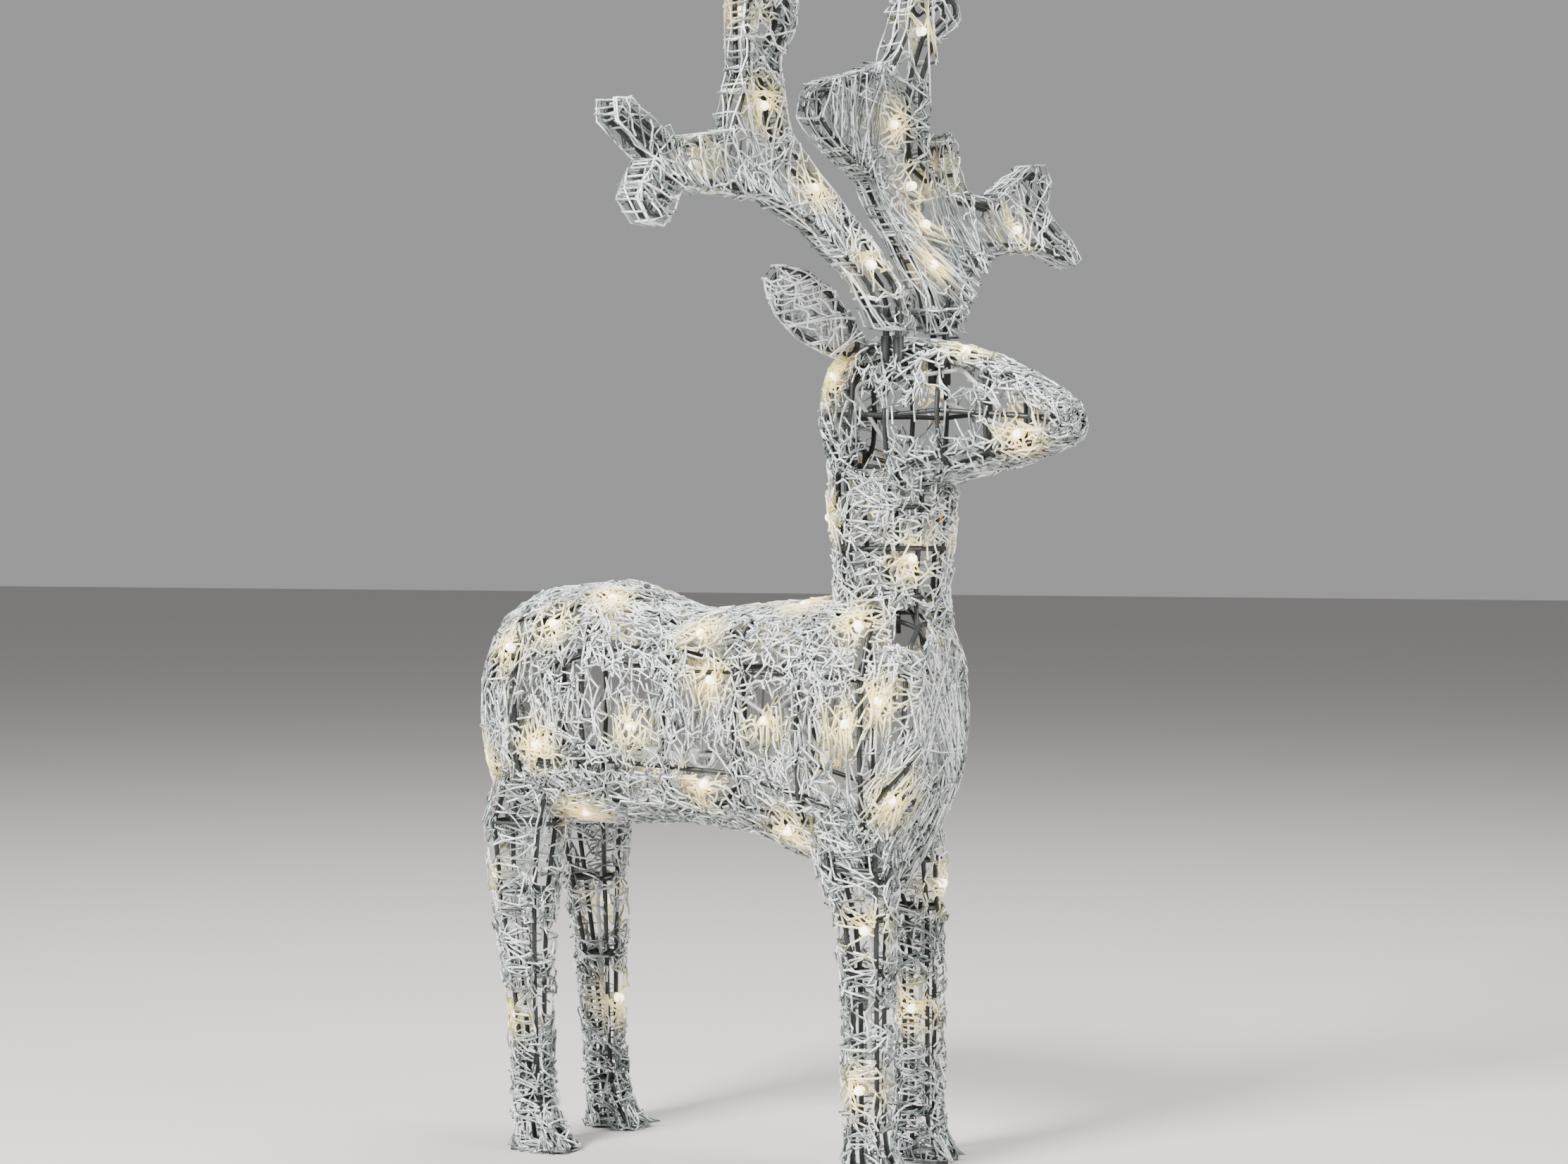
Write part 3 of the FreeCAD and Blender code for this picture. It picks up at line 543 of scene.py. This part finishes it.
def thread_material():
    """Clear crinkled acrylic: pale, glossy, a little see-through, with painted shade and glints,
    and a painted warm glow beside a lamp.
    """
    material, tree, shader = node_material("acrylic_thread")
    nodes, links = tree.nodes, tree.links
    noise = object_noise(tree, 420.0)
    noise.inputs["Detail"].default_value = 3.0
    ramp = ramp_between(tree, noise.outputs["Fac"], (0.50, 0.56, 0.57, 1), (0.97, 0.98, 0.97, 1))
    ramp.color_ramp.elements[0].position = 0.32
    ramp.color_ramp.elements[1].position = 0.62
    lit = nodes.new("ShaderNodeAttribute")
    lit.attribute_name = "lit"
    shade_glint = nodes.new("ShaderNodeAttribute")
    shade_glint.attribute_name = "shade_glint"
    # Painted shade: the dark colour stands for see-through thread in shade, and the pale ramp for
    # lit thread.
    clear = nodes.new("ShaderNodeMix")
    clear.data_type = "RGBA"
    clear.inputs["A"].default_value = (0.13, 0.16, 0.16, 1)
    links.new(shade_glint.outputs["Fac"], clear.inputs["Factor"])
    links.new(ramp.outputs["Color"], clear.inputs["B"])
    # Painted lamp light: the thread's colour turns warm near a lamp.
    warm = nodes.new("ShaderNodeMix")
    warm.data_type = "RGBA"
    warm.inputs["B"].default_value = (1.0, 0.85, 0.40, 1)
    links.new(lit.outputs["Fac"], warm.inputs["Factor"])
    links.new(clear.outputs["Result"], warm.inputs["A"])
    links.new(warm.outputs["Result"], shader.inputs["Base Color"])
    shader.inputs["Roughness"].default_value = 0.16
    shader.inputs["IOR"].default_value = 1.49
    shader.inputs["Coat Weight"].default_value = 0.7
    shader.inputs["Coat Roughness"].default_value = 0.08
    # Painted lamp light: near a lamp the thread glows, though it is no lamp.
    shader.inputs["Emission Color"].default_value = (1.0, 0.76, 0.26, 1)
    power = nodes.new("ShaderNodeMath")
    power.operation = "MULTIPLY"
    power.inputs[1].default_value = THREAD_GLOW
    links.new(lit.outputs["Fac"], power.inputs[0])
    links.new(power.outputs[0], shader.inputs["Emission Strength"])
    crinkle = object_noise(tree, 1500.0)
    bump = nodes.new("ShaderNodeBump")
    bump.inputs["Strength"].default_value = 0.5
    bump.inputs["Distance"].default_value = 0.0004
    links.new(crinkle.outputs["Fac"], bump.inputs["Height"])
    links.new(bump.outputs["Normal"], shader.inputs["Normal"])
    return material


def wire_material():
    """Dark paint on steel rod, a little worn."""
    material, tree, shader = node_material("painted_wire")
    noise = object_noise(tree, 160.0)
    ramp = ramp_between(
        tree, noise.outputs["Fac"], (0.012, 0.014, 0.013, 1), (0.035, 0.04, 0.037, 1))
    tree.links.new(ramp.outputs["Color"], shader.inputs["Base Color"])
    shader.inputs["Roughness"].default_value = 0.42
    shader.inputs["Metallic"].default_value = 0.3
    return material


def lens_material():
    """A lit warm white lens, a little brighter in its middle."""
    material, tree, shader = node_material("warm_white_led")
    shader.inputs["Base Color"].default_value = (1.0, 0.93, 0.78, 1)
    shader.inputs["Roughness"].default_value = 0.15
    facing = tree.nodes.new("ShaderNodeLayerWeight")
    facing.inputs["Blend"].default_value = 0.35
    ramp = ramp_between(tree, facing.outputs["Facing"], (1.0, 0.93, 0.74, 1), (1.0, 0.78, 0.42, 1))
    tree.links.new(ramp.outputs["Color"], shader.inputs["Emission Color"])
    shader.inputs["Emission Strength"].default_value = LENS_GLOW
    return material


def clear_material(name, tint):
    """Clear moulded plastic or cable cover, slightly cloudy."""
    material, tree, shader = node_material(name)
    noise = object_noise(tree, 90.0)
    shade = tuple(0.8 * t for t in tint) + (1,)
    ramp = ramp_between(tree, noise.outputs["Fac"], shade, tuple(tint) + (1,))
    tree.links.new(ramp.outputs["Color"], shader.inputs["Base Color"])
    shader.inputs["Roughness"].default_value = 0.25
    shader.inputs["Transmission Weight"].default_value = 0.35
    return material


THREAD = thread_material()
WIRE = wire_material()
LENS = lens_material()
HOLDER = clear_material("clear_holder", (0.80, 0.81, 0.78))
CABLE = clear_material("clear_cable", (0.72, 0.74, 0.72))

# Endings of the CAD nodes' names, and what those nodes are made of. Windings aren't here,
# because the threads replace them.
FINISHES = (
    (("_frame", "_pins", "antler_sockets"), WIRE),
    (("_led_lamps",), LENS),
    (("_led_holders",), HOLDER),
    (("_led_wire", "lead_splice"), CABLE),
)
for node_name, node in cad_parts.items():
    for endings, finish in FINISHES:
        if node_name.endswith(endings):
            for slot in node.material_slots:
                slot.material = finish

# ---------------------------------------------------------------- threads

# Windows left in the winding: to the right of the hooves' middle as the camera stands,
# height, half width, half height, and the share of threads that still cross.
WINDOWS = [
    (-20.7, 203, 14, 9, 0.5), (-70.7, 236, 10, 7, 0.5), (15.5, 230, 9, 7, 0.5),
    (-50.7, 235, 5, 6, 0.35), (-104, 240, 7, 8, 0.5), (82.8, 265, 8.5, 9.5, 0.0),
    (105.7, 386.6, 8, 5.5, 0.1), (89, 367, 4.5, 6, 0.1), (79.7, 363.4, 5.5, 5.5, 0.2),
    (67.3, 357.6, 6.5, 5, 0.15), (63.6, 348, 6, 4.5, 0.1), (105.7, 364.8, 4.5, 5, 0.15),
    (59.3, 377, 5, 3.5, 0.2), (102.8, 348, 5, 4, 0.2), (125, 376, 3, 6, 0.3),
    (-100, 105, 6, 7, 0.25), (-101, 74, 5, 6, 0.25), (-76, 107, 4, 7, 0.3),
    (-66.5, 75, 5, 7, 0.25), (72, 79, 7, 4, 0.3), (93.8, 85, 5, 4, 0.3),
    (93.8, 62, 6, 3.5, 0.3), (70.7, 19, 5, 4, 0.3), (66, 112, 4, 5, 0.3),
]


def open_windows(strands, place, rng):
    """Cuts most threads where they would cross a window, and leaves the upright ones."""
    matrix = np.array(place)
    centre = np.array(CENTRE)
    right = np.array((VIEW_RIGHT.x, VIEW_RIGHT.y, 0.0))
    kept = []
    for strand in strands:
        points = np.array(strand) @ matrix[:3, :3].T + matrix[:3, 3] - centre
        across = points @ right
        up = points[:, 2]
        gone = np.zeros(len(points), bool)
        for middle, height, half_width, half_height, share in WINDOWS:
            off = ((across - middle) / half_width) ** 2 + ((up - height) / half_height) ** 2
            inside = off < 1
            if not inside.any():
                continue
            moves = np.abs(np.diff(points[inside], axis=0)).sum(0)
            upright = moves[2] > UPRIGHT_RATIO * (moves[0] + moves[1])
            stay = min(1.0, share * UPRIGHT_STAY) if upright else share * OTHER_STAY
            if rng.random() > stay:
                gone |= inside
        run = []
        for point, is_gone in zip(strand, gone):
            if is_gone:
                kept.append(run)
                run = []
            else:
                run.append(point)
        kept.append(run)
    return [run for run in kept if len(run) > 2]


def add_threads(name, strands, place, body, node_name, shade_glints=THREAD_SHADE_GLINTS):
    """One or more pieces of thread, each small enough to export whole."""
    groups = [[]]
    faces = 0
    for strand in strands:
        if faces > PIECE_FACES:
            groups.append([])
            faces = 0
        groups[-1].append(world_points(strand, place))
        faces += THREAD_SIDES * (len(strand) - 1)
    for number, group in enumerate(groups):
        label = name if len(groups) == 1 else f"{name}_{number + 1}"
        obj = tube_mesh(label, group, shade_glints)
        obj.data.materials.append(THREAD)
        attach(obj, body)
        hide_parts(node_name)


def ring_band(place, half_width=BAND_HALF):
    """Where a ring shows."""
    return lambda along, angle: abs(along - place) < half_width


def rod_band(loft, index, half_width=BAND_HALF):
    """Where a long rod shows."""
    place = 2 * math.pi * index / ROD_PLACES

    def band(along, angle):
        off = (angle - place + math.pi) % (2 * math.pi) - math.pi
        return abs(off) * loft.radius(along) < half_width

    return band


def wound_form(name, loft, place, seed, caps=(), layers=LAYERS, bands=(), shade_glints=THREAD_SHADE_GLINTS):
    """The winding of a form. caps are its closed ends, and how many threads cross each."""
    rng = random.Random(seed)
    length = loft.area() * layers / (2 * THREAD_RADIUS)
    strands = surface_strands(loft, rng, length, bands)
    for end, count in caps:
        strands += cap_strands(loft, end, rng, count)
    strands = open_windows(strands, place, rng)
    add_threads(name + "_threads", strands, place, ROOT, name + "_winding", shade_glints)


def leg_loft(rows, side, track):
    """The form of a leg on the left (1) or the right (-1)."""
    stations = [(up, x, side * (track - inward), a, b) for up, x, a, b, inward in rows]
    return Loft("z", stations, LEG_SHAPE)


ROOT = "reindeer"
SIDES = (("right", -1), ("left", 1))
LEGS = (("front", FRONT_LEG, FRONT_TRACK), ("rear", REAR_LEG, REAR_TRACK))
LEG_RODS = (10, 14, 2, 6)
BODY_SEED, NECK_SEED, HEAD_SEED, LEG_SEED, EAR_SEED, ANTLER_SEED = 11, 12, 13, 20, 41, 51

body_form = Loft("x", BODY, BODY_SHAPE)
neck_form = Loft("z", NECK, BODY_SHAPE)
head_form = Loft("x", HEAD, BODY_SHAPE)
wound_form(
    "body", body_form, TO_BODY, BODY_SEED, caps=[(-1, 120), (1, 90)],
    bands=[ring_band(86), ring_band(106), ring_band(-104), rod_band(body_form, 9, 1.5)])
wound_form(
    "neck", neck_form, TO_HEAD, NECK_SEED,
    bands=[rod_band(neck_form, 15), rod_band(neck_form, 11), ring_band(304)])
wound_form(
    "head", head_form, TO_HEAD, HEAD_SEED, caps=[(-1, 50), (1, 26)], layers=HEAD_LAYERS,
    bands=[rod_band(head_form, 8, 1.3), rod_band(head_form, 10, 1.3),
           rod_band(head_form, 5, 1.0), ring_band(66, 1.0)],
    shade_glints=DARKER_SHADE_GLINTS)
for side_name, side in SIDES:
    for end_name, rows, track in LEGS:
        form = leg_loft(rows, side, track)
        wound_form(
            f"{end_name}_{side_name}_leg", form, TO_BODY, LEG_SEED + 3 * side + track,
            caps=[(-1, 34)], layers=LEG_LAYERS,
            bands=[rod_band(form, index) for index in LEG_RODS], shade_glints=DARKER_SHADE_GLINTS)


def ear_strands(sign, rng):
    """Threads to and fro across the leaf, along it, and round its edge."""
    root, tip, across = (
        Vector((v[0], -sign * v[1], v[2])) for v in (EAR_ROOT, EAR_TIP, EAR_WIDTH)
    )
    along = tip - root
    normal = along.cross(across).normalized()
    across = normal.cross(along).normalized()
    shares = [row[0] for row in EAR_HALF_WIDTHS]
    widths = [row[1] for row in EAR_HALF_WIDTHS]

    def rim(share, edge, lift):
        """A point at a share of the length, of the half width, and a lift off the middle."""
        width = float(np.interp(share, shares, widths)) - EAR_MARGIN
        return root + along * share + across * (edge * width) + normal * lift

    strands = []
    for face in (-1, 1):
        for _ in range(EAR_SPANS):
            share = rng.uniform(0.03, 0.97)
            slope = rng.uniform(-0.22, 0.22)
            lift = face * rng.uniform(1.6, EAR_LIFT)
            low, high = (min(max(share + move, 0.0), 1.0) for move in (-slope, slope))
            points = [rim(low, -1, 0)]
            for k in range(EAR_SPAN_STEPS + 1):
                t = k / EAR_SPAN_STEPS
                points.append(rim(low + (high - low) * t, -1 + 2 * t, lift))
            points.append(rim(high, 1, 0))
            strands.append(points)
    for _ in range(EAR_LENGTHWISE):
        share = rng.uniform(0.02, 0.5)
        edge = rng.uniform(-0.85, 0.85)
        lift = rng.choice((-1, 1)) * rng.uniform(1.4, EAR_LIFT)
        points = []
        while share < 0.97 and len(points) < EAR_MOST_POINTS:
            points.append(rim(share, edge, lift))
            share += rng.uniform(0.03, 0.08)
            edge = min(0.95, max(-0.95, edge + rng.gauss(0, 0.22)))
            lift = min(EAR_LIFT, max(-EAR_LIFT, lift + rng.gauss(0, 0.4)))
        strands.append(points)
    steps = [k / EAR_RIM_STEPS for k in range(EAR_RIM_STEPS + 1)]
    for _ in range(EAR_RIM_TURNS):
        lift = rng.uniform(-1.6, 1.6)
        loop = [rim(share, 1, lift + rng.gauss(0, 0.4)) for share in steps]
        loop += [rim(1 - share, -1, lift + rng.gauss(0, 0.4)) for share in steps]
        strands.append(loop + loop[:1])
    return [[tuple(point) for point in points] for points in strands]


for side_name, side in SIDES:
    strands = ear_strands(side, random.Random(EAR_SEED + side))
    add_threads(side_name + "_ear_threads", strands, TO_HEAD, ROOT, side_name + "_ear_winding")


def antler_point(sign, out, up, ahead):
    """A point of an antler: how far out and up it is, and how far before the middle."""
    lean = np.interp(up, [row[0] for row in ANTLER_BEND], [row[1] for row in ANTLER_BEND])
    return (float(lean) + ahead, sign * (ANTLER_SIDE + out), up)


def inside_outline(outline, out, up):
    """Whether a point lies in an outline, by the edges that a line from it crosses."""
    inside = False
    previous = outline[-1]
    for corner in outline:
        if (corner[1] > up) != (previous[1] > up):
            reach = corner[0] + (up - corner[1]) * (previous[0] - corner[0]) / (
                previous[1] - corner[1])
            if out < reach:
                inside = not inside
        previous = corner
    return inside


def nearest_on_outline(outline, out, up):
    """The closest point of an outline."""
    least = math.inf
    best = (out, up)
    previous = outline[-1]
    for corner in outline:
        run = (corner[0] - previous[0], corner[1] - previous[1])
        size = run[0] ** 2 + run[1] ** 2
        share = ((out - previous[0]) * run[0] + (up - previous[1]) * run[1]) / size
        share = min(1.0, max(0.0, share))
        at = (previous[0] + run[0] * share, previous[1] + run[1] * share)
        gap = math.hypot(at[0] - out, at[1] - up)
        if gap < least:
            least, best = gap, at
        previous = corner
    return best


def edge_from(outline, out, up, heading):
    """Walks from a point to the outline, as far as it goes in WALK_STEPS."""
    for _ in range(WALK_STEPS):
        after = (out + WALK_STEP * math.cos(heading), up + WALK_STEP * math.sin(heading))
        if not inside_outline(outline, *after):
            break
        out, up = after
    return out, up


def random_place(outline, rng):
    """A point of an outline's box."""
    outs = [corner[0] for corner in outline]
    ups = [corner[1] for corner in outline]
    return rng.uniform(min(outs), max(outs)), rng.uniform(min(ups), max(ups))


def shortest_span(outline, rng, out, up):
    """Of three tries, the shortest way across the outline through a point."""
    spans = []
    for _ in range(3):
        heading = rng.uniform(0, 2 * math.pi)
        one = edge_from(outline, out, up, heading)
        two = edge_from(outline, out, up, heading + math.pi + rng.gauss(0, 0.35))
        spans.append((math.hypot(two[0] - one[0], two[1] - one[1]), one, two))
    return min(spans)


def antler_spans(outline, sign, rng):
    """Threads stretched over one face, round the edge, and back over the other."""
    strands = []
    while len(strands) < ANTLER_SPANS:
        out, up = random_place(outline, rng)
        if not inside_outline(outline, out, up):
            continue
        span, one, two = shortest_span(outline, rng, out, up)
        if span < SPAN_LIMITS[0] or span > SPAN_LIMITS[1]:
            continue
        points = []
        shift = rng.gauss(0, 2.0)
        crumple = rng.choice(ANTLER_CRUMPLES)
        for _ in range(rng.choice((1, 1, 2))):
            for face, (start, end) in ((1, (one, two)), (-1, (two, one))):
                lift = face * (ANTLER_HALF - rng.uniform(0.6, 2.2))
                count = max(3, int(span / SPAN_STEP))
                sag = rng.uniform(0, 1.0)
                for k in range(count + 1):
                    t = k / count
                    points.append(antler_point(
                        sign,
                        start[0] + (end[0] - start[0]) * t + rng.gauss(0, crumple),
                        start[1] + (end[1] - start[1]) * t + rng.gauss(0, crumple)
                        + shift * t * 0.3,
                        lift - face * sag * math.sin(math.pi * t)))
                points.append(antler_point(sign, end[0], end[1] + shift * 0.3, rng.uniform(-3, 3)))
        strands.append(points)
    return strands


def antler_walks(outline, sign, rng):
    """Crumpled threads that wander over both faces."""
    strands = []
    for _ in range(ANTLER_WALKS):
        out, up = random_place(outline, rng)
        while not inside_outline(outline, out, up):
            out, up = random_place(outline, rng)
        face = rng.choice((-1, 1))
        heading = rng.uniform(0, 2 * math.pi)
        points = []
        for _ in range(rng.randint(8, 24)):
            after = (out + STEP * math.cos(heading), up + STEP * math.sin(heading))
            if inside_outline(outline, *after):
                out, up = after
            else:
                heading += rng.uniform(1.6, 3.6)
                face = rng.choice((face, -face))
            lift = face * (ANTLER_HALF - rng.uniform(0.5, 2.4))
            points.append(antler_point(sign, out, up, lift))
            heading += rng.gauss(0, 0.6)
        strands.append(points)
    return strands


def antler_rims(outline, sign, rng):
    """Threads wound round the edge."""
    strands = []
    loop = outline + outline[:1]
    for _ in range(ANTLER_RIM_TURNS):
        ahead = rng.uniform(-6, 6)
        points = []
        for start, end in zip(loop, loop[1:]):
            span = math.hypot(end[0] - start[0], end[1] - start[1])
            count = max(1, int(span / RIM_STEP))
            for k in range(count):
                t = k / count
                out = start[0] + (end[0] - start[0]) * t + rng.gauss(0, 0.5)
                up = start[1] + (end[1] - start[1]) * t + rng.gauss(0, 0.5)
                if not inside_outline(outline, out, up):
                    out, up = nearest_on_outline(outline, out, up)
                ahead = min(RIM_REACH, max(-RIM_REACH, ahead + rng.gauss(0, 1.8)))
                points.append(antler_point(sign, out, up, ahead))
        strands.append(points)
    return strands


for (side_name, side), outline in zip(SIDES, (RIGHT_ANTLER, LEFT_ANTLER)):
    name = side_name + "_antler"
    rng = random.Random(ANTLER_SEED + side)
    strands = antler_spans(outline, side, rng)
    strands += antler_walks(outline, side, rng)
    strands += antler_rims(outline, side, rng)
    add_threads(name + "_threads", strands, TO_HEAD, name, name + "_winding", DARKER_SHADE_GLINTS)
